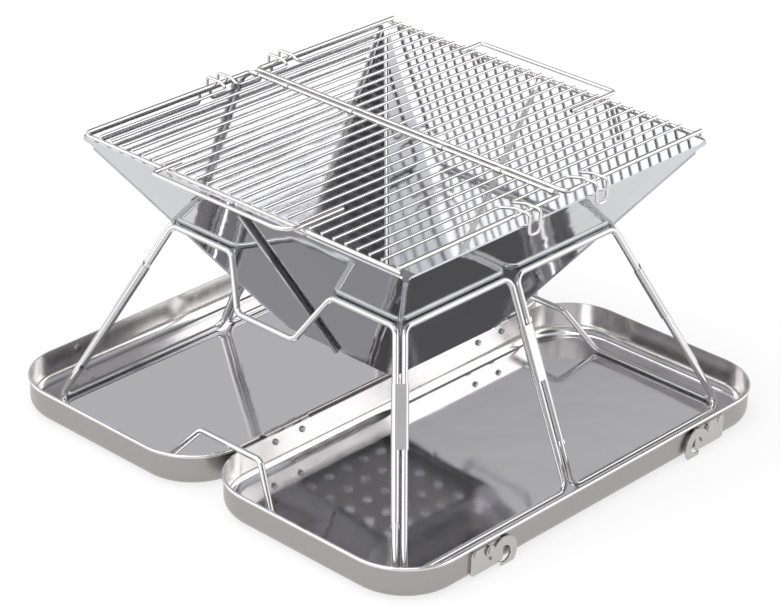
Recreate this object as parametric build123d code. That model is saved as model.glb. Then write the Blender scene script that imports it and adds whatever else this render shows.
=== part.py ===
from build123d import *
import math
import os

# A folding charcoal grill, standing in its open carrying case. Millimetres, Z up, X along the
# case's hinge. The origin is under the middle of the case. "Front" is -Y, "left" is -X.

# Case: two pressed trays, hinged along X.
case_length = 506.0
case_width = 518.0
tray_depth = 33.0
tray_sheet = 1.0
tray_corner_r = 57.0
tray_bottom_r = 12.0
rim_bead = 1.6
rim_bead_height = 3.2
hinge_wall_y = 3.8
closed_rim_gap = 0.6

# Case hinges, rivets and catches.
hinge_x = 137.0
hinge_length = 55.0
hinge_knuckles = 5
hinge_barrel_r = 2.4
hinge_pin_r = 1.2
hinge_leaf = 1.0
hinge_leaf_foot_z = 14.0
knuckle_gap = 0.3
running_fit = 0.06
rivet_r = 1.5
rivet_head_r = 3.0
rivet_head = 2.2
rivet_z = 25.0
rivet_spacing = 34.0
catch_x = 150.7
catch_z = 22.0
catch_plate = 2.0
catch_lever = 1.6
catch_clearance = 0.3
catch_plate_left = 23.0
catch_plate_right = 18.0
catch_plate_low = 4.5
catch_plate_high = 28.5
catch_plate_corner_r = 4.0
catch_boss_r = 5.2
catch_rivet_back = 16.8
catch_rivet_up = 2.5
catch_reach = 20.3
catch_hook_inner_r = 8.0
catch_hook_outer_r = 16.5
catch_drop_angle = 29.5
catch_head = 1.2
keeper_rivet_head = 0.6

# Frame: six bent wire loops that lean in towards the top, paired by clip-on sleeves.
frame_wire_r = 3.0
crossbar_z = 188.5
foot_margin = 31.0
foot_half = min(case_length, case_width) / 2 - foot_margin
rest_gap = 0.3
wire_pair_spacing = 7.8
wire_bend_r = 10.0
dip_outer = 62.0
dip_inner = 35.0
dip_z = 143.7
hump_outer = 68.0
hump_inner = 38.0
hump_z = 41.0
sleeve_wall = 0.75
sleeve_top_z = 147.0
sleeve_mid_z = 99.0
sleeve_foot_z = 46.0
sleeve_web = 0.7
ear_width = 7.6
ear_thickness = 3.6
ear_length = 4.0

# Basin: six sheet panels with knuckled edges, an upside-down pyramid.
rim_half = 200.0
rim_z = 275.0
basin_foot_half = 68.0
basin_foot_z = 83.6
panel_sheet = 1.0
panel_corner_r = 3.0
hem_height = 5.0
hem = 0.7
corner_barrel_r = 2.2
corner_pin_r = 0.9
corner_knuckles = 7
corner_axis_gap = 0.3
middle_barrel_r = 2.9
middle_axis_out = 1.9
middle_pin_r = 1.1
middle_knuckles = 5
barrel_top_z = 264.0
barrel_foot_z = 85.5
ash_plate_z = 97.0
ash_plate = 1.5
ash_hole_r = 5.0
ash_holes = 5
ash_hole_pitch = 24.0
ash_corner_cut = 9.0

# Grate: two welded halves that meet at a seam and lift at it.
grate_bar_inset = 1.385247
grate_rim_inset = 10.0
grate_half_width = rim_half - grate_rim_inset
grate_front_gap = 21.0
grate_back_gap = 14.0
grate_rod_count = 26
seam_x = 8.0
seam_half = 4.0
grate_rod_r = 1.5
grate_border_r = 2.2
grate_bar_r = 2.0
grate_handle_r = 2.0
rod_end_inset = 1.0
seam_bend = 6.0
handle_left_reach = 17.0
handle_right_reach = 13.0
handle_gaps = (6, 18)
handle_tight_bend = 4.0
handle_wide_bend = 18.0
handle_short_arm = 15.0
handle_long_arm = 47.5
hook_half = 6.9
hook_left_x = (-43.5, -33.0)
hook_right_x = (45.4, 47.5)
hook_drop_z = 265.0
hook_rise = 4.0
hook_side_bend = 5.0
hook_over_bend = 3.5
clip_length = 5.0
clip_wall = 1.1
clip_arm = 1.4
clip_gaps = (3, 8, 16, 22)

touch = 0.02

os.makedirs("parts", exist_ok=True)


def save(name, *shapes):
    """Write one sub-part: the solids of all the shapes given."""
    solids = [solid for shape in shapes for solid in shape.solids()]
    export_step(solids[0] if len(solids) == 1 else Compound(children=solids), f"parts/{name}.step")


def rod(start, end, radius):
    """A round bar between two points."""
    run = Vector(*end) - Vector(*start)
    place = Plane(origin=start, z_dir=run)
    return place * Cylinder(radius, run.length, align=(Align.CENTER, Align.CENTER, Align.MIN))


def block(low, high):
    """A box given by its two corners."""
    size = [high[i] - low[i] for i in range(3)]
    centre = [(high[i] + low[i]) / 2 for i in range(3)]
    return Pos(*centre) * Box(*size)


def bent_wire(points, bends, radius, close=False):
    """A round wire along straight runs joined by tangent bends."""
    path = FilletPolyline(*points, radius=bends, close=close)
    return sweep(Plane(path @ 0, z_dir=path % 0) * Circle(radius), path=path)


def turned(shape, quarter):
    """The shape moved from the front to another side, in quarter turns about Z."""
    return Rot(0, 0, 90 * quarter) * shape


def mirrored_x(shape):
    return mirror(shape, about=Plane.YZ)


# Case

tray_outer_y = case_width / 2
tray_wall_y = tray_outer_y - rim_bead
hinge_z = tray_depth + closed_rim_gap / 2
tray_span = tray_wall_y - hinge_wall_y
tray_middle_y = (tray_wall_y + hinge_wall_y) / 2


def tray_outline(grow=0.0):
    return Pos(0, -tray_middle_y) * RectangleRounded(
        case_length - 2 * rim_bead + 2 * grow, tray_span + 2 * grow, tray_corner_r + grow
    )


def tray_body(outline, height, bottom_r):
    body = extrude(outline, height)
    return fillet(body.faces().sort_by(Axis.Z)[0].edges(), bottom_r)


def front_tray():
    """A pressed tray with a rolled rim, notched where the hinge barrels lie."""
    outer = tray_body(tray_outline(), tray_depth, tray_bottom_r)
    inner = tray_body(tray_outline(-tray_sheet), tray_depth, tray_bottom_r - tray_sheet)
    shell = outer - Pos(0, 0, tray_sheet) * inner
    bead = extrude(tray_outline(rim_bead) - tray_outline(-tray_sheet), rim_bead_height)
    outer_edges = [
        edge
        for face in (bead.faces().sort_by(Axis.Z)[0], bead.faces().sort_by(Axis.Z)[-1])
        for edge in face.outer_wire().edges()
    ]
    bead = fillet(outer_edges, 0.9 * min(rim_bead, rim_bead_height / 2))
    tray = shell + Pos(0, 0, tray_depth - rim_bead_height) * bead
    notch_half = hinge_length / 2 + 1.0
    for x in (-hinge_x, hinge_x):
        tray -= block(
            (x - notch_half, -hinge_wall_y, tray_depth - rim_bead_height - touch),
            (x + notch_half, 0, tray_depth + 1),
        )
        for rivet_x in (x - rivet_spacing / 2, x + rivet_spacing / 2):
            hole = rivet_r + running_fit
            tray -= rod((rivet_x, -hinge_wall_y - 2 * tray_sheet, rivet_z), (rivet_x, 0, rivet_z), hole)
    return tray


def hinge_leaf_set(x, own):
    """One leaf of a case hinge, on the front tray's side, with every other knuckle."""
    pitch = hinge_length / hinge_knuckles
    start = x - hinge_length / 2
    leaf_y = hinge_wall_y - hinge_leaf
    web = 0.8
    leaf = block(
        (start, -hinge_wall_y, hinge_leaf_foot_z), (start + hinge_length, -leaf_y, hinge_z - 1.0)
    )
    for n in range(own, hinge_knuckles, 2):
        low = start + n * pitch + knuckle_gap / 2
        high = start + (n + 1) * pitch - knuckle_gap / 2
        leaf += block((low, -hinge_wall_y, hinge_z - 2.0), (high, -hinge_pin_r, hinge_z + web))
        leaf += rod((low, 0, hinge_z), (high, 0, hinge_z), hinge_barrel_r)
    leaf -= rod((start - 1, 0, hinge_z), (start + hinge_length + 1, 0, hinge_z), hinge_pin_r + running_fit)
    for rivet_x in (x - rivet_spacing / 2, x + rivet_spacing / 2):
        leaf -= rod(
            (rivet_x, -hinge_wall_y - 1, rivet_z), (rivet_x, 0, rivet_z), rivet_r + running_fit
        )
    return leaf


def hinge_rivet(x):
    """A rivet through leaf and wall, with its domed head inside the tray."""
    inside = -hinge_wall_y - tray_sheet
    outside = -hinge_wall_y + hinge_leaf
    head = rod((x, inside, rivet_z), (x, inside - rivet_head, rivet_z), rivet_head_r)
    head = fillet(head.edges().filter_by(GeomType.CIRCLE).sort_by(Axis.Y)[0], 0.6 * rivet_head)
    flush = rod((x, outside, rivet_z), (x, outside + 0.6, rivet_z), 0.85 * rivet_head_r)
    return head + rod((x, inside, rivet_z), (x, outside, rivet_z), rivet_r) + flush


def rivets_for(x):
    return [hinge_rivet(x + side * rivet_spacing / 2) for side in (-1, 1)]


def hinge_pin(x):
    reach = hinge_length / 2 + 0.8
    return rod((x - reach, 0, hinge_z), (x + reach, 0, hinge_z), hinge_pin_r)


def to_back(shape):
    """The same thing on the back tray."""
    return mirror(shape, about=Plane.XZ)


lever_y = -(tray_wall_y + catch_plate + catch_clearance)
pivot_x = -catch_x
drop = math.radians(catch_drop_angle)
claw_x = pivot_x + catch_reach * math.cos(drop)
claw_z = catch_z - catch_reach * math.sin(drop)
catch_rivet_x = pivot_x - catch_rivet_back
catch_rivet_z = catch_z + catch_rivet_up


def on_front_wall(x, z):
    """A drawing plane in XZ at the catch's place, facing -Y."""
    return Plane(origin=(x, -tray_wall_y, z), x_dir=(1, 0, 0), z_dir=(0, -1, 0))


def catch_base():
    """The riveted plate that the catch's lever turns on."""
    left, right = pivot_x - catch_plate_left, pivot_x + catch_plate_right
    low, high = catch_plate_low, catch_plate_high
    plate = on_front_wall((left + right) / 2, (low + high) / 2) * RectangleRounded(
        right - left, high - low, catch_plate_corner_r
    )
    base = extrude(plate, catch_plate)
    for x, z in ((pivot_x, catch_z), (catch_rivet_x, catch_rivet_z)):
        base -= rod((x, -tray_wall_y + 1, z), (x, lever_y - 2, z), rivet_r + running_fit)
    return base


def catch_lever_part():
    """The hook: a boss on the pivot, an arched arm and a claw round the keeper's place."""
    arm = Circle(catch_hook_outer_r) - Circle(catch_hook_inner_r)
    mouth = Pos(-catch_hook_outer_r, -catch_hook_outer_r) * Rectangle(
        1.6 * catch_hook_outer_r, 2 * catch_hook_outer_r
    )
    claw = Plane(origin=(claw_x, lever_y, claw_z), x_dir=(1, 0, 0), z_dir=(0, -1, 0))
    boss = Plane(origin=(pivot_x, lever_y, catch_z), x_dir=(1, 0, 0), z_dir=(0, -1, 0))
    hook = extrude(claw * (arm - mouth), catch_lever)
    reach = 2 * catch_hook_outer_r
    above_ground = block(
        (claw_x - reach, lever_y - reach, tray_sheet), (claw_x + reach, lever_y + reach, claw_z + reach)
    )
    hook = hook & above_ground
    hook += extrude(boss * Circle(catch_boss_r), catch_lever)
    hole = rod((pivot_x, lever_y + 1, catch_z), (pivot_x, lever_y - 5, catch_z), rivet_r + running_fit)
    return hook - hole


def catch_rivet(x, z, outer_y, outer_head=catch_head):
    """A rivet from inside the tray to outer_y, with a head at both ends."""
    inside = -tray_wall_y + tray_sheet
    shank = rod((x, inside, z), (x, outer_y, z), rivet_r)
    tail = rod((x, inside + rivet_head, z), (x, inside, z), rivet_head_r)
    head = rod((x, outer_y, z), (x, outer_y - outer_head, z), rivet_head_r)
    head = fillet(head.edges().filter_by(GeomType.CIRCLE).sort_by(Axis.Y)[0], 0.6 * outer_head)
    return shank + tail + head


def catch_rivets():
    return [
        catch_rivet(pivot_x, catch_z, lever_y - catch_lever - touch),
        catch_rivet(catch_rivet_x, catch_rivet_z, -tray_wall_y - catch_plate),
    ]


keeper_z = 2 * hinge_z - (catch_z + catch_reach)
keeper_stud_r = 2.6
keeper_plate = 1.4
keeper_length = 30.0
keeper_height = 10.0
keeper_rivet_reach = 11.0
keeper_head_r = 4.2


def keeper():
    """The keeper on the back tray: a plate with a headed stud that the claw closes on."""
    outline = Rectangle(keeper_length, keeper_height)
    plate = extrude(on_front_wall(pivot_x, keeper_z) * outline, keeper_plate)
    plate = fillet(plate.edges().filter_by(Axis.Y), 3.0)
    stud_end = lever_y - catch_lever - catch_clearance
    stud = rod((pivot_x, -tray_wall_y, keeper_z), (pivot_x, stud_end, keeper_z), keeper_stud_r)
    plate += stud
    head_end = lever_y - catch_lever - catch_head - touch
    plate += rod((pivot_x, stud_end, keeper_z), (pivot_x, head_end, keeper_z), keeper_head_r)
    for x in (pivot_x - keeper_rivet_reach, pivot_x + keeper_rivet_reach):
        plate -= rod((x, -tray_wall_y + 1, keeper_z), (x, lever_y, keeper_z), rivet_r + running_fit)
    return to_back(plate)


def keeper_rivets():
    return [
        to_back(catch_rivet(x, keeper_z, -tray_wall_y - keeper_plate, keeper_rivet_head))
        for x in (pivot_x - keeper_rivet_reach, pivot_x + keeper_rivet_reach)
    ]


def catch_holes():
    return [
        rod((x, -tray_wall_y - 1, z), (x, -tray_wall_y + 2 * tray_sheet, z), rivet_r + running_fit)
        for x, z in ((pivot_x, catch_z), (catch_rivet_x, catch_rivet_z))
    ]


def keeper_holes():
    return [
        rod((x, -tray_wall_y - 1, keeper_z), (x, -tray_wall_y + 2 * tray_sheet, keeper_z), rivet_r + running_fit)
        for x in (pivot_x - keeper_rivet_reach, pivot_x + keeper_rivet_reach)
    ]


plain_tray = front_tray()
tray_front = plain_tray
tray_back = plain_tray
for hole in catch_holes():
    tray_front = tray_front - hole - mirrored_x(hole)
for hole in keeper_holes():
    tray_back = tray_back - hole - mirrored_x(hole)
save("tray_front", tray_front)
save("tray_back", to_back(tray_back))
save("hinge_leaves_front", *[hinge_leaf_set(x, 0) for x in (-hinge_x, hinge_x)])
save("hinge_leaves_back", *[to_back(hinge_leaf_set(x, 1)) for x in (-hinge_x, hinge_x)])
save("hinge_pins", *[hinge_pin(x) for x in (-hinge_x, hinge_x)])
case_rivets = [rivet for x in (-hinge_x, hinge_x) for rivet in rivets_for(x)]
save("hinge_rivets_front", *case_rivets)
save("hinge_rivets_back", *[to_back(rivet) for rivet in case_rivets])
for side, place in (("left", lambda shape: shape), ("right", mirrored_x)):
    save(f"catch_base_{side}", place(catch_base()))
    save(f"catch_lever_{side}", place(catch_lever_part()))
    save(f"catch_rivets_{side}", *[place(rivet) for rivet in catch_rivets()])
    save(f"keeper_{side}", place(keeper()))
    save(f"keeper_rivets_{side}", *[place(rivet) for rivet in keeper_rivets()])


# Basin

basin_slope = (rim_half - basin_foot_half) / (rim_z - basin_foot_z)
basin_lean = math.atan(basin_slope)
panel_length = math.hypot(rim_half - basin_foot_half, rim_z - basin_foot_z)


def basin_half(z):
    """Half the basin's outer width at a height."""
    return rim_half - (rim_z - z) * basin_slope


panel_top_z = rim_z + panel_sheet * math.sin(basin_lean)

front_face = Plane(
    origin=(0, -rim_half, rim_z),
    x_dir=(1, 0, 0),
    z_dir=(0, -math.cos(basin_lean), -math.sin(basin_lean)),
)
corner_axis_in = (panel_sheet + corner_axis_gap) / math.cos(basin_lean)


def corner_axis(z, side):
    """A point of the hinge line at the front's right (+1) or left (-1) corner."""
    half = basin_half(z) - corner_axis_in
    return Vector(side * half, -half, z)


def middle_axis(z):
    """A point of the fold line down the middle of a split side, drawn at the front."""
    out = middle_axis_out / math.cos(basin_lean)
    return Vector(0, -basin_half(z) - out, z)


def spans(line, count):
    """The stretches of a hinge line that its knuckles take, from the top down."""
    top, foot = line(barrel_top_z), line(barrel_foot_z)
    run = foot - top
    margin = knuckle_gap / 2 / run.length
    return [
        (top + run * (n / count + margin), top + run * ((n + 1) / count - margin)) for n in range(count)
    ]


def knuckled(panel, line, count, own, barrel_r, pin_r):
    """Give a panel's edge its own knuckles, and room for its neighbour's."""
    top, foot = line(barrel_top_z), line(barrel_foot_z)
    run = (foot - top).normalized()
    room = barrel_r + 0.4
    places = spans(line, count)
    reach = run * knuckle_gap
    for n, (start, end) in enumerate(places):
        if n % 2 != own:
            panel -= rod(start - reach, end + reach, room)
    beyond = run * 30
    panel -= rod(top - beyond, top, room)
    panel -= rod(foot, foot + beyond, room)
    for n, (start, end) in enumerate(places):
        if n % 2 == own:
            panel += rod(start, end, barrel_r)
    return panel - rod(top - beyond, foot + beyond, pin_r + running_fit)


def panel_plate(left, right):
    """A flat panel of the front face between two fractions of its half width, with its hem."""
    edge = corner_axis_in
    top_l, top_r = left * (rim_half - edge), right * (rim_half - edge)
    low_l, low_r = left * (basin_foot_half - edge), right * (basin_foot_half - edge)
    outline = make_face(
        Polyline((top_l, 0), (top_r, 0), (low_r, -panel_length), (low_l, -panel_length), close=True)
    )
    corners = [v for v in outline.vertices() if v.Y > -1 and abs(v.X) > 1]
    outline = fillet(corners, panel_corner_r)
    strip = Pos(0, -hem_height / 2) * Rectangle(2 * rim_half, hem_height)
    plate = extrude(front_face * outline, -panel_sheet)
    return plate + extrude(front_face * (outline & strip), hem)


def corner_knuckled(panel, side, own):
    return knuckled(
        panel, lambda z: corner_axis(z, side), corner_knuckles, own, corner_barrel_r, corner_pin_r
    )


def middle_knuckled(panel, own):
    return knuckled(panel, middle_axis, middle_knuckles, own, middle_barrel_r, middle_pin_r)


def hinge_wire(line, radius):
    top, foot = line(barrel_top_z), line(barrel_foot_z)
    return rod(top, foot, radius)


whole_panel = corner_knuckled(corner_knuckled(panel_plate(-1, 1), -1, 0), 1, 0)
seam_gap = 0.4 / rim_half
left_part = middle_knuckled(corner_knuckled(panel_plate(-1, -seam_gap), -1, 1), 0)
right_part = middle_knuckled(corner_knuckled(panel_plate(seam_gap, 1), 1, 1), 1)
save("panel_front", whole_panel)
save("panel_back", turned(whole_panel, 2))
save("panel_left_rear", turned(left_part, -1))
save("panel_left_front", turned(right_part, -1))
save("panel_right_front", turned(left_part, 1))
save("panel_right_rear", turned(right_part, 1))
corner_wire = hinge_wire(lambda z: corner_axis(z, 1), corner_pin_r)
for name, quarter in (("front_right", 0), ("rear_right", 1), ("rear_left", 2), ("front_left", 3)):
    save(f"basin_pin_{name}", turned(corner_wire, quarter))
middle_wire = hinge_wire(middle_axis, middle_pin_r)
save("basin_pin_left", turned(middle_wire, -1))
save("basin_pin_right", turned(middle_wire, 1))


def ash_tray():
    """The perforated plate that closes the basin's foot and lets air up."""
    half = basin_half(ash_plate_z) - (panel_sheet + rest_gap) / math.cos(basin_lean)
    plate = Pos(0, 0, ash_plate_z + ash_plate / 2) * Box(2 * half, 2 * half, ash_plate)
    plate = chamfer(plate.edges().filter_by(Axis.Z), ash_corner_cut)
    middle = (ash_holes - 1) / 2
    for i in range(ash_holes):
        for j in range(ash_holes):
            x, y = (i - middle) * ash_hole_pitch, (j - middle) * ash_hole_pitch
            plate -= rod((x, y, ash_plate_z - 1), (x, y, ash_plate_z + ash_plate + 1), ash_hole_r)
    return plate


save("ash_plate", ash_tray())


# Frame

foot_z = tray_sheet + rest_gap + frame_wire_r
crossbar_half = basin_half(crossbar_z) + (frame_wire_r + rest_gap) / math.cos(basin_lean)
frame_slope = (foot_half - crossbar_half) / (crossbar_z - foot_z)
corner_inset = wire_pair_spacing / math.sqrt(2)
middle_inset = wire_pair_spacing / 2


def frame_half(z):
    """Half the frame's width at a height, at the wires' centres."""
    return foot_half - (z - foot_z) * frame_slope


def lean(x, z):
    """A point of the frame's front face."""
    return Vector(x, -frame_half(z), z)


def side_loop():
    """A whole side: a closed loop with a dip for the fold and a hump over the case's hinge."""
    outer_top = frame_half(crossbar_z) - corner_inset
    outer_foot = foot_half - corner_inset
    right = [
        (dip_inner, dip_z),
        (dip_outer, crossbar_z),
        (outer_top, crossbar_z),
        (outer_foot, foot_z),
        (hump_outer, foot_z),
        (hump_inner, hump_z),
    ]
    left = [(-x, z) for x, z in reversed(right)]
    return bent_wire([lean(x, z) for x, z in right + left], wire_bend_r, frame_wire_r, close=True)


def half_loop():
    """The left half of a front or back side: a closed loop from the corner to the middle."""
    points = [
        (-(frame_half(crossbar_z) - corner_inset), crossbar_z),
        (-middle_inset, crossbar_z),
        (-middle_inset, foot_z),
        (-(foot_half - corner_inset), foot_z),
    ]
    return bent_wire([lean(x, z) for x, z in points], wire_bend_r, frame_wire_r, close=True)


def corner_side_wire(z):
    """The side loop's leg at the front left corner."""
    return Vector(-frame_half(z), -(frame_half(z) - corner_inset), z)


def corner_front_wire(z):
    """The front loop's leg at the front left corner."""
    return Vector(-(frame_half(z) - corner_inset), -frame_half(z), z)


def middle_right_wire(z):
    return lean(middle_inset, z)


def middle_left_wire(z):
    return lean(-middle_inset, z)


def pair_plane(long_wire, short_wire, z, outward):
    """A plane across a pair of legs: X from the long barrel to the short one."""
    middle = (long_wire(z) + short_wire(z)) * 0.5
    along = (long_wire(sleeve_top_z) - long_wire(sleeve_foot_z)).normalized()
    across = short_wire(z) - long_wire(z)
    plane = Plane(origin=middle, x_dir=across, z_dir=along)
    side = 1 if plane.y_dir.dot(outward) > 0 else -1
    return plane, side


def sleeve(long_wire, short_wire, outward):
    """Two barrels of rolled sheet round a pair of legs, joined by a web on the outer side."""
    plane, side = pair_plane(long_wire, short_wire, sleeve_mid_z, outward)
    up = (long_wire(sleeve_top_z) - long_wire(sleeve_mid_z)).length
    down = (long_wire(sleeve_mid_z) - long_wire(sleeve_foot_z)).length
    outer_r = frame_wire_r + running_fit + sleeve_wall
    half = wire_pair_spacing / 2
    low_end = (Align.CENTER, Align.CENTER, Align.MIN)
    long_barrel = Pos(-half, 0, -down) * Cylinder(outer_r, down + up, align=low_end)
    short_barrel = Pos(half, 0, 0) * Cylinder(outer_r, up, align=low_end)
    web_y = side * (outer_r - sleeve_web / 2)
    web = Pos(0, web_y, up / 2) * Box(wire_pair_spacing, sleeve_web, up)
    both = long_barrel + short_barrel + web
    bore = Cylinder(frame_wire_r + running_fit, 4 * (down + up))
    return plane * (both - Pos(-half, 0, 0) * bore - Pos(half, 0, 0) * bore)


def ears(long_wire, short_wire, outward):
    """The pinched flats on a leg that stop its sleeve from sliding."""
    flats = []
    for z, step in ((sleeve_top_z, 1), (sleeve_foot_z, -1)):
        plane, side = pair_plane(long_wire, short_wire, z, outward)
        place = Pos(-wire_pair_spacing / 2, 0, step * (ear_length / 2 + 1.0))
        flats.append(plane * place * Box(ear_width, ear_thickness, ear_length))
    return flats


corner_out = Vector(-1, -1, 0)
front_out = Vector(0, -1, 0)


def mirrored_wire(wire):
    return lambda z: Vector(-wire(z).X, wire(z).Y, z)


left_corner_ears = ears(corner_side_wire, corner_front_wire, corner_out)
side_frame = turned(side_loop(), -1)
for flat in left_corner_ears:
    side_frame = side_frame + flat + to_back(flat)
right_half = mirrored_x(half_loop())
for flat in ears(middle_right_wire, middle_left_wire, front_out):
    right_half += flat
save("frame_left", side_frame)
save("frame_right", mirrored_x(side_frame))
save("frame_front_left", half_loop())
save("frame_front_right", right_half)
save("frame_back_left", to_back(half_loop()))
save("frame_back_right", to_back(right_half))
corner_sleeve = sleeve(corner_side_wire, corner_front_wire, corner_out)
middle_sleeve = sleeve(middle_right_wire, middle_left_wire, front_out)
save("sleeve_front_left", corner_sleeve)
save("sleeve_front_right", mirrored_x(corner_sleeve))
save("sleeve_back_left", to_back(corner_sleeve))
save("sleeve_back_right", to_back(mirrored_x(corner_sleeve)))
save("sleeve_front_middle", middle_sleeve)
save("sleeve_back_middle", to_back(middle_sleeve))


# Grate

rim_inner = rim_half - panel_sheet / math.cos(basin_lean)
grate_bar_x = rim_inner - grate_bar_inset
bar_rest = grate_bar_r + rest_gap
bar_z = panel_top_z + math.sqrt(bar_rest**2 - (rim_inner - grate_bar_x) ** 2)
grate_z = bar_z + grate_bar_r + grate_border_r + touch
rod_z = bar_z + grate_bar_r + grate_rod_r + touch
handle_z = bar_z + grate_bar_r + grate_handle_r + touch
rod_pitch = (2 * grate_half_width - grate_front_gap - grate_back_gap) / (grate_rod_count - 1)


def rod_y(place):
    """Where a rod lies, counted from the front; halves fall between two rods."""
    return grate_front_gap - grate_half_width + place * rod_pitch


def grate_border(side, inner_x):
    """A half's border: a U along the front, the seam and the back, its ends on the side bar."""
    end, half = side * (grate_bar_x + grate_bar_r), grate_half_width
    corners = [(end, -half), (inner_x, -half), (inner_x, half), (end, half)]
    return bent_wire([Vector(x, y, grate_z) for x, y in corners], seam_bend, grate_border_r)


def side_bar(side):
    """The bar under the outer ends of a half's rods, lying on the basin's rim."""
    reach = grate_half_width + grate_border_r
    return rod((side * grate_bar_x, -reach, bar_z), (side * grate_bar_x, reach, bar_z), grate_bar_r)


def seam_end(side, inner_x):
    """Where a half's rods stop at the seam wire."""
    return inner_x + side * (grate_border_r + touch)


def grate_rods(side, inner_x):
    """The straight rods, without the first and the last, which make the hooks."""
    outer = side * (grate_bar_x - rod_end_inset)
    inner = seam_end(side, inner_x)
    return [
        rod((outer, rod_y(n), rod_z), (inner, rod_y(n), rod_z), grate_rod_r)
        for n in range(1, grate_rod_count - 1)
    ]


def grate_handle(side, reach, near_bend):
    """A U of wire on the side bar, its arms between the rods, that reaches out over the rim."""
    front, back = [rod_y(gap + 0.5) for gap in handle_gaps]
    short = side * (grate_bar_x - handle_short_arm)
    long = side * (grate_bar_x - handle_long_arm)
    out = side * (rim_half + reach)
    points = [(long, front), (out, front), (out, back), (short, back)]
    bends = [near_bend, handle_tight_bend]
    return bent_wire([Vector(x, y, handle_z) for x, y in points], bends, grate_handle_r)


def hooked_rod(side, inner_x, hook_x, edge):
    """A rod that leaves its line to cross the border and hang in a U outside the rim."""
    line = rod_y(0 if edge < 0 else grate_rod_count - 1)
    over = grate_z + grate_border_r + grate_rod_r + touch
    crest = edge * (grate_half_width - hook_rise)
    out = edge * (rim_half + hem / math.cos(basin_lean) + rest_gap + grate_rod_r)
    climb = [(line, rod_z), (crest, over), (out, over), (out, hook_drop_z)]
    first = hook_x + side * hook_half
    second = hook_x - side * hook_half
    points = [Vector(side * (grate_bar_x - rod_end_inset), line, rod_z)]
    points += [Vector(first, y, z) for y, z in climb]
    points += [Vector(second, y, z) for y, z in reversed(climb)]
    points += [Vector(seam_end(side, inner_x), line, rod_z)]
    turn = [hook_side_bend, hook_side_bend, hook_over_bend, hook_side_bend]
    return bent_wire(points, turn + turn[::-1], grate_rod_r)


def seam_ring(y):
    """A ring that turns on the left half's seam wire, with an arm to the right half's."""
    axis_x, far_x = seam_x - seam_half, seam_x + seam_half
    ring_r = grate_border_r + running_fit + clip_wall
    low, high = y - clip_length / 2, y + clip_length / 2
    ring = rod((axis_x, low, grate_z), (axis_x, high, grate_z), ring_r)
    ring += block(
        (axis_x, low, grate_z - clip_arm / 2),
        (far_x - grate_border_r - touch, high, grate_z + clip_arm / 2),
    )
    bore = rod((axis_x, low - 1, grate_z), (axis_x, high + 1, grate_z), grate_border_r + running_fit)
    return ring - bore


def end_ring_y(edge):
    """Where the ring at the seam's front or back end lies, inside the border's bend."""
    return edge * (grate_half_width - seam_bend - rest_gap - clip_length / 2)


halves = (
    ("left", -1, seam_x - seam_half, handle_left_reach, handle_wide_bend, hook_left_x),
    ("right", 1, seam_x + seam_half, handle_right_reach, handle_tight_bend, hook_right_x),
)
for name, side, inner_x, reach, bend, hook_xs in halves:
    save(f"grate_border_{name}", grate_border(side, inner_x))
    save(f"grate_rods_{name}", *grate_rods(side, inner_x))
    save(f"grate_bars_{name}", side_bar(side))
    save(f"grate_handle_{name}", grate_handle(side, reach, bend))
    hooks = [hooked_rod(side, inner_x, hook_x, edge) for hook_x, edge in zip(hook_xs, (-1, 1))]
    save(f"grate_hooks_{name}", *hooks)
save("grate_links", *[seam_ring(end_ring_y(edge)) for edge in (-1, 1)])
save("grate_clips", *[seam_ring(rod_y(gap + 0.5)) for gap in clip_gaps])
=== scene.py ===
import math
import bpy
from mathutils import Matrix, Vector


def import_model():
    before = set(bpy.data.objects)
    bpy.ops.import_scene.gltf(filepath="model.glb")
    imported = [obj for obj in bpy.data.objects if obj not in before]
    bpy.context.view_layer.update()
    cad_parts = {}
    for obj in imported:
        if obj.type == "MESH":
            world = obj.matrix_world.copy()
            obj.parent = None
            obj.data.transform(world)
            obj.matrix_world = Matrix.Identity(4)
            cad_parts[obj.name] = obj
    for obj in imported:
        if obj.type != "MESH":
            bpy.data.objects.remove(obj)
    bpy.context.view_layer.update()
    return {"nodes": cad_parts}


# A folding charcoal grill of polished steel sheet and chromed wire, in its open case, in metres.
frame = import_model()
nodes = frame["nodes"]

# Camera, fitted to the photograph's 780 x 609 frame.
frame_width = 780.0
focal_px = 2943.4
sensor = 36.0
camera_place = Vector((-1.7823, -1.6368, 1.3485))
camera_azimuth = math.radians(-135.768)
camera_elevation = math.radians(27.278)
camera_roll = 0.0127
camera_shift = (0.0967, 0.0064)

# Outputs of Texture Coordinate and Light Path, by place.
generated, facing_way, object_place = 0, 1, 3
camera_ray, glossy_ray, transmission_ray = 0, 3, 6

# Steel. Scales are per metre, depths and waves in metres.
grain_scale = 900.0
dent_scale = 14.0
mark_scale = 60.0
crease_degrees = 32
weld_distance = 0.000002
tray_middle_y = 0.1306
bead_foot = 0.0292
bead_edge = 0.0302
fold_half = 0.0030
fold_edge = 0.0033

# The studio.
floor_size = 30.0
floor_drop = 0.0002
floor_white = 0.86
floor_glow = 0.75
studio_low = 0.85
studio_high = 0.7
horizon_dark = 0.35
# Azimuth, elevation, inner and outer radius in degrees, brightness.
studio_cards = (
    (-45.5, 24.6, 22.0, 42.0, 2.0),
    (136.5, 25.6, 20.0, 45.0, 1.9),
    (44.2, 27.3, 12.0, 26.0, 0.55),
    (72.0, 49.3, 10.0, 24.0, 0.5),
    (18.2, 47.9, 13.0, 27.0, 0.15),
    (-75.8, 48.0, 11.0, 24.0, 0.12),
)


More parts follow.
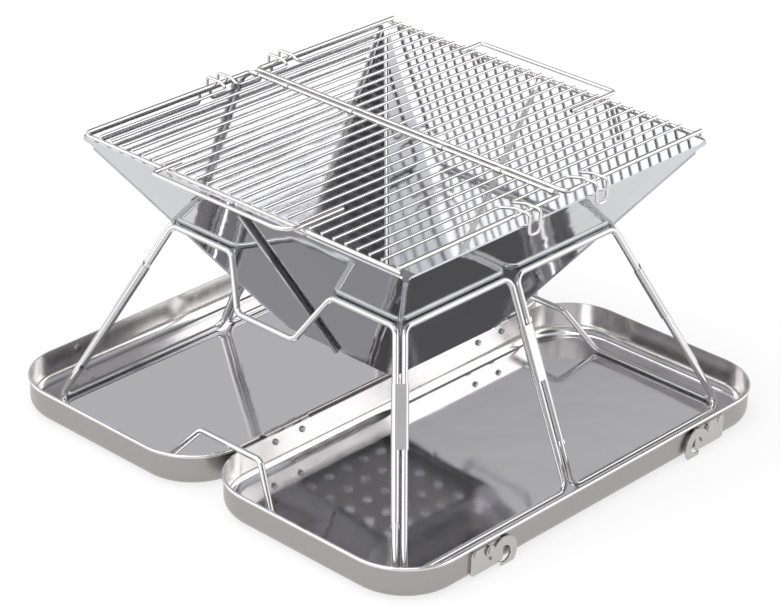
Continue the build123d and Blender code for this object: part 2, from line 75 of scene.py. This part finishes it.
def camera():
    """A camera at the photograph's place, looking down along its axis."""
    back = Vector(
        (
            math.cos(camera_elevation) * math.cos(camera_azimuth),
            math.cos(camera_elevation) * math.sin(camera_azimuth),
            math.sin(camera_elevation),
        )
    )
    right = Vector((0, 0, 1)).cross(back).normalized()
    up = back.cross(right)
    c, s = math.cos(camera_roll), math.sin(camera_roll)
    right, up = c * right + s * up, c * up - s * right
    data = bpy.data.cameras.new("camera")
    data.sensor_width = sensor
    data.lens = focal_px / frame_width * sensor
    data.shift_x, data.shift_y = camera_shift
    data.clip_start, data.clip_end = 0.05, 50.0
    eye = bpy.data.objects.new("camera", data)
    turn = Matrix((right, up, back)).transposed().to_4x4()
    eye.matrix_world = Matrix.Translation(camera_place) @ turn
    bpy.context.scene.collection.objects.link(eye)
    bpy.context.scene.camera = eye


class Shader:
    """A short way to write a node tree."""

    def __init__(self, tree):
        self.tree = tree
        tree.nodes.clear()

    def node(self, kind, out=0, **inputs):
        """A node; inputs are numbers, colours or other nodes' outputs, settings start with set_."""
        made = self.tree.nodes.new(kind)
        for key, value in inputs.items():
            if key.startswith("set_"):
                setattr(made, key[4:], value)
        for key, value in inputs.items():
            if key.startswith("set_"):
                continue
            name = int(key[1:]) if key[0] == "i" and key[1:].isdigit() else key.replace("_", " ")
            socket = made.inputs[name]
            if isinstance(value, bpy.types.NodeSocket):
                self.tree.links.new(value, socket)
            else:
                socket.default_value = value
        return made.outputs[out]

    def math(self, operation, a, b=0.0):
        return self.node("ShaderNodeMath", set_operation=operation, i0=a, i1=b)

    def step(self, value, low, high):
        """0 below low, 1 above high, smooth between."""
        return self.node(
            "ShaderNodeMapRange",
            set_interpolation_type="SMOOTHSTEP",
            Value=value,
            From_Min=low,
            From_Max=high,
        )

    def spread(self, value, low, high):
        """The middle of a noise, stretched to run from low to high."""
        return self.node(
            "ShaderNodeMapRange", Value=value, From_Min=0.3, From_Max=0.7, To_Min=low, To_Max=high
        )

    def noise(self, place, scale, detail, roughness=0.5):
        return self.node(
            "ShaderNodeTexNoise", Vector=place, Scale=scale, Detail=detail, Roughness=roughness
        )

    def vector(self, operation, a, b, out=0):
        return self.node("ShaderNodeVectorMath", out, set_operation=operation, i0=a, i1=b)

    def coordinate(self, kind):
        return self.node("ShaderNodeTexCoord", kind)

    def part_of(self, vector, axis):
        """One of a vector's three parts."""
        return self.node("ShaderNodeSeparateXYZ", axis, Vector=vector)

    def steel(self, colour, roughness, normal):
        shader = self.node(
            "ShaderNodeBsdfPrincipled",
            Base_Color=colour,
            Metallic=1.0,
            Roughness=roughness,
            Normal=normal,
        )
        self.surface(shader)

    def surface(self, shader):
        out = self.tree.nodes.new("ShaderNodeOutputMaterial")
        self.tree.links.new(shader, out.inputs["Surface"])

    def mix(self, share, a, b):
        return self.node("ShaderNodeMix", 2, set_data_type="RGBA", Factor=share, i6=a, i7=b)

    def mix_number(self, share, a, b):
        return self.node("ShaderNodeMix", 0, set_data_type="FLOAT", Factor=share, i2=a, i3=b)


def grey(value, warmth=0.0):
    return (value * (1 + warmth), value, value * (1 - warmth), 1.0)


def new_material(name):
    material = bpy.data.materials.new(name)
    material.use_nodes = True
    return material, Shader(material.node_tree)


def metal(name, colour, roughness, grain=(1, 1, 1), grain_depth=0.00002, wave=0.0, smudge=0.05):
    """Metal with a fine grain, slow dents and smudges in its gloss."""
    material, s = new_material(name)
    place = s.coordinate(object_place)
    fine = s.noise(s.vector("MULTIPLY", place, grain), grain_scale, 3.0)
    slow = s.noise(place, dent_scale, 2.0)
    marks = s.noise(place, mark_scale, 6.0, 0.7)
    gloss = s.spread(marks, max(0.02, roughness - smudge), roughness + smudge)
    darker = tuple(0.94 * c for c in colour[:3]) + (1,)
    tint = s.mix(s.step(slow, 0.3, 0.7), darker, colour)
    bump = s.node("ShaderNodeBump", Height=fine, Distance=grain_depth, Strength=0.6)
    if wave:
        bump = s.node("ShaderNodeBump", Height=slow, Distance=wave, Strength=1.0, Normal=bump)
    s.steel(tint, gloss, bump)
    return material


def blended(s, share, first, second):
    """A finish that runs from first to second with share; its numbers become node outputs."""
    return {
        key: (s.mix if key == "colour" else s.mix_number)(share, first[key], second[key]) for key in first
    }


def two_finishes(name, share_of, first, second, grain=(1, 1, 1), upright_finish=None):
    """A metal with the finish second where share_of says 1, and upright_finish on its other walls."""
    material, s = new_material(name)
    place = s.coordinate(object_place)
    share = share_of(s, place)
    if upright_finish:
        first = blended(s, upright(s), first, upright_finish)
    finish = blended(s, share, first, second)
    fine = s.noise(s.vector("MULTIPLY", place, grain), 800.0, 3.0)
    slow = s.noise(place, 12.0, 2.0)
    marks = s.noise(place, 70.0, 6.0, 0.7)
    rough = s.math("MULTIPLY", finish["roughness"], s.spread(marks, 0.75, 1.25))
    grain_height = s.math("MULTIPLY", fine, finish["grain"])
    bump = s.node("ShaderNodeBump", Height=grain_height, Distance=0.00004, Strength=0.6)
    dents = s.math("MULTIPLY", slow, finish["wave"])
    bump = s.node("ShaderNodeBump", Height=dents, Distance=1.0, Strength=1.0, Normal=bump)
    s.steel(finish["colour"], rough, bump)
    return material


def outer_wall_of(middle_y):
    """1 on a tray's outer faces and 0 inside it, from the way its surface faces."""

    def share(s, place):
        away = s.vector("SUBTRACT", place, (0, middle_y, 0))
        outward = s.vector("MULTIPLY", away, (1, 1, 0))
        dot = s.vector("DOT_PRODUCT", outward, s.coordinate(facing_way), 1)
        below_bead = s.math("SUBTRACT", 1.0, s.step(s.part_of(place, 2), bead_foot, bead_edge))
        return s.math("MULTIPLY", s.step(dot, 0.004, 0.02), below_bead)

    return share


def upright(s):
    """1 on faces that stand up, 0 on those that lie flat."""
    flat = s.math("ABSOLUTE", s.part_of(s.coordinate(facing_way), 2))
    return s.math("SUBTRACT", 1.0, s.step(flat, 0.5, 0.95))


def near_fold(s, place):
    """1 on the barrels down the middle of a split side, where a darker grey is laid on as painted shade
    along the fold.
    """
    across = s.math("ABSOLUTE", s.part_of(place, 1))
    return s.math("SUBTRACT", 1.0, s.step(across, fold_half, fold_edge))


polished = {"colour": (0.52, 0.525, 0.55, 1), "roughness": 0.05, "grain": 0.05, "wave": 0.0005}
floor_polish = {"colour": (0.765, 0.755, 0.785, 1), "roughness": 0.08, "grain": 0.1, "wave": 0.0004}
satin = {"colour": (0.37, 0.36, 0.345, 1), "roughness": 0.3, "grain": 1.6, "wave": 0.0003}
inner_satin = {"colour": (0.72, 0.70, 0.68, 1), "roughness": 0.2, "grain": 0.8, "wave": 0.0003}
# Painted shade: a darker grey finish for the fold's barrels, standing in for the shade along the fold.
fold_painted_shade = {"colour": grey(0.34), "roughness": 0.16, "grain": 0.2, "wave": 0.0}


def dress(node, material):
    """Give a CAD node a material."""
    slots = nodes[node].data.materials
    if not slots:
        slots.append(material)
    for i in range(len(slots)):
        slots[i] = material


def dress_nodes():
    """A material for every node, by the start of its name; a later line takes over from an earlier."""
    lengthwise, brushed = (1, 1, 0.05), (0.08, 0.08, 1)
    panel = metal("polished_panel", polished["colour"], polished["roughness"], wave=0.0005, smudge=0.03)
    # The split sides carry a stripe of painted shade down their fold.
    fold_panel = two_finishes("polished_fold_panel", near_fold, polished, fold_painted_shade)
    wire = metal("chromed_wire", grey(0.60), 0.07, grain_depth=0.00001, smudge=0.03)
    sleeve = metal("rolled_sleeve", grey(0.56), 0.15, grain=lengthwise)
    grate = metal("grate_wire", grey(0.72, 0.02), 0.12)
    nickel = metal("nickel", grey(0.52, 0.03), 0.2)
    rivet = metal("rivet_steel", grey(0.32), 0.16)
    dull = metal("dull_pin", grey(0.3), 0.35)
    ash = metal("ash_plate_steel", grey(0.45, 0.01), 0.42)
    front, back = [
        two_finishes(f"{tray}_steel", outer_wall_of(y), floor_polish, satin, brushed, inner_satin)
        for tray, y in (("tray_front", -tray_middle_y), ("tray_back", tray_middle_y))
    ]
    choice = [
        ("panel_front", panel),
        ("panel_back", panel),
        ("panel_left", fold_panel),
        ("panel_right", fold_panel),
        ("frame_", wire),
        ("sleeve_", sleeve),
        ("grate_", grate),
        ("catch_", nickel),
        ("keeper", nickel),
        ("hinge_leaves", nickel),
        ("hinge_pins", dull),
        ("hinge_rivets", rivet),
        ("basin_pin", dull),
        ("ash_plate", ash),
        ("tray_front", front),
        ("tray_back", back),
    ]
    for prefix, material in choice:
        for name in nodes:
            if name.startswith(prefix):
                dress(name, material)


def smooth(obj):
    """Round faces shade smooth and creases stay sharp."""
    weld = obj.modifiers.new("weld", "WELD")
    weld.merge_threshold = weld_distance
    split = obj.modifiers.new("split", "EDGE_SPLIT")
    split.split_angle = math.radians(crease_degrees)
    for polygon in obj.data.polygons:
        polygon.use_smooth = True


def toward(azimuth, elevation):
    """A unit vector from two angles in degrees; azimuth turns from +X to +Y."""
    a, e = math.radians(azimuth), math.radians(elevation)
    return Vector((math.cos(a) * math.cos(e), math.sin(a) * math.cos(e), math.sin(e)))


def world():
    """White to the camera; to the metal, a bright studio with the grey cards of studio_cards."""
    scene_world = bpy.data.worlds.new("studio")
    bpy.context.scene.world = scene_world
    scene_world.use_nodes = True
    s = Shader(scene_world.node_tree)
    direction = s.coordinate(generated)
    height = s.part_of(direction, 2)
    level = s.mix_number(s.step(height, 0.25, 0.95), studio_low, studio_high)
    level = s.mix_number(s.step(height, 0.03, 0.2), horizon_dark, level)
    for azimuth, elevation, inner, outer, brightness in studio_cards:
        centre = tuple(toward(azimuth, elevation))
        near = s.vector("DOT_PRODUCT", direction, centre, 1)
        share = s.step(near, math.cos(math.radians(outer)), math.cos(math.radians(inner)))
        level = s.mix_number(share, level, brightness)
    strength = s.mix_number(s.node("ShaderNodeLightPath", camera_ray), level, 1.0)
    background = s.node("ShaderNodeBackground", Color=(1, 1, 1, 1), Strength=strength)
    out = s.tree.nodes.new("ShaderNodeOutputWorld")
    s.tree.links.new(background, out.inputs["Surface"])


def floor():
    """A white floor that keeps a faint shadow."""
    half = floor_size / 2
    mesh = bpy.data.meshes.new("floor")
    corners = [(-half, -half, 0), (half, -half, 0), (half, half, 0), (-half, half, 0)]
    mesh.from_pydata(corners, [], [(0, 1, 2, 3)])
    ground = bpy.data.objects.new("floor", mesh)
    ground.location.z = -floor_drop
    bpy.context.scene.collection.objects.link(ground)
    material, s = new_material("white_floor")
    matt = s.node("ShaderNodeBsdfDiffuse", Color=grey(floor_white))
    glow = s.node("ShaderNodeEmission", Color=(1, 1, 1, 1), Strength=1.0)
    seen, mirrored, through = [
        s.node("ShaderNodeLightPath", kind) for kind in (camera_ray, glossy_ray, transmission_ray)
    ]
    direct = s.math("MAXIMUM", seen, s.math("MAXIMUM", mirrored, through))
    share = s.math("MULTIPLY", direct, floor_glow)
    s.surface(s.node("ShaderNodeMixShader", i0=share, i1=matt, i2=glow))
    mesh.materials.append(material)


def lamp(name, place, target, size, power):
    """A soft rectangle of light that faces its target; power in watts."""
    data = bpy.data.lights.new(name, "AREA")
    data.shape = "RECTANGLE"
    data.size, data.size_y = size
    data.energy = power
    obj = bpy.data.objects.new(name, data)
    obj.location = place
    obj.rotation_mode = "QUATERNION"
    obj.rotation_quaternion = (Vector(target) - Vector(place)).to_track_quat("-Z", "Y")
    bpy.context.scene.collection.objects.link(obj)


camera()
world()
floor()
lamp("top_softbox", (-0.3, 0.2, 2.3), (0, 0, 0.1), (2.2, 1.6), 28.0)
lamp("left_softbox", (-2.4, -0.6, 1.2), (0, 0, 0.15), (1.0, 1.4), 12.0)
dress_nodes()
for obj in nodes.values():
    smooth(obj)

bpy.context.scene.view_settings.view_transform = "Standard"
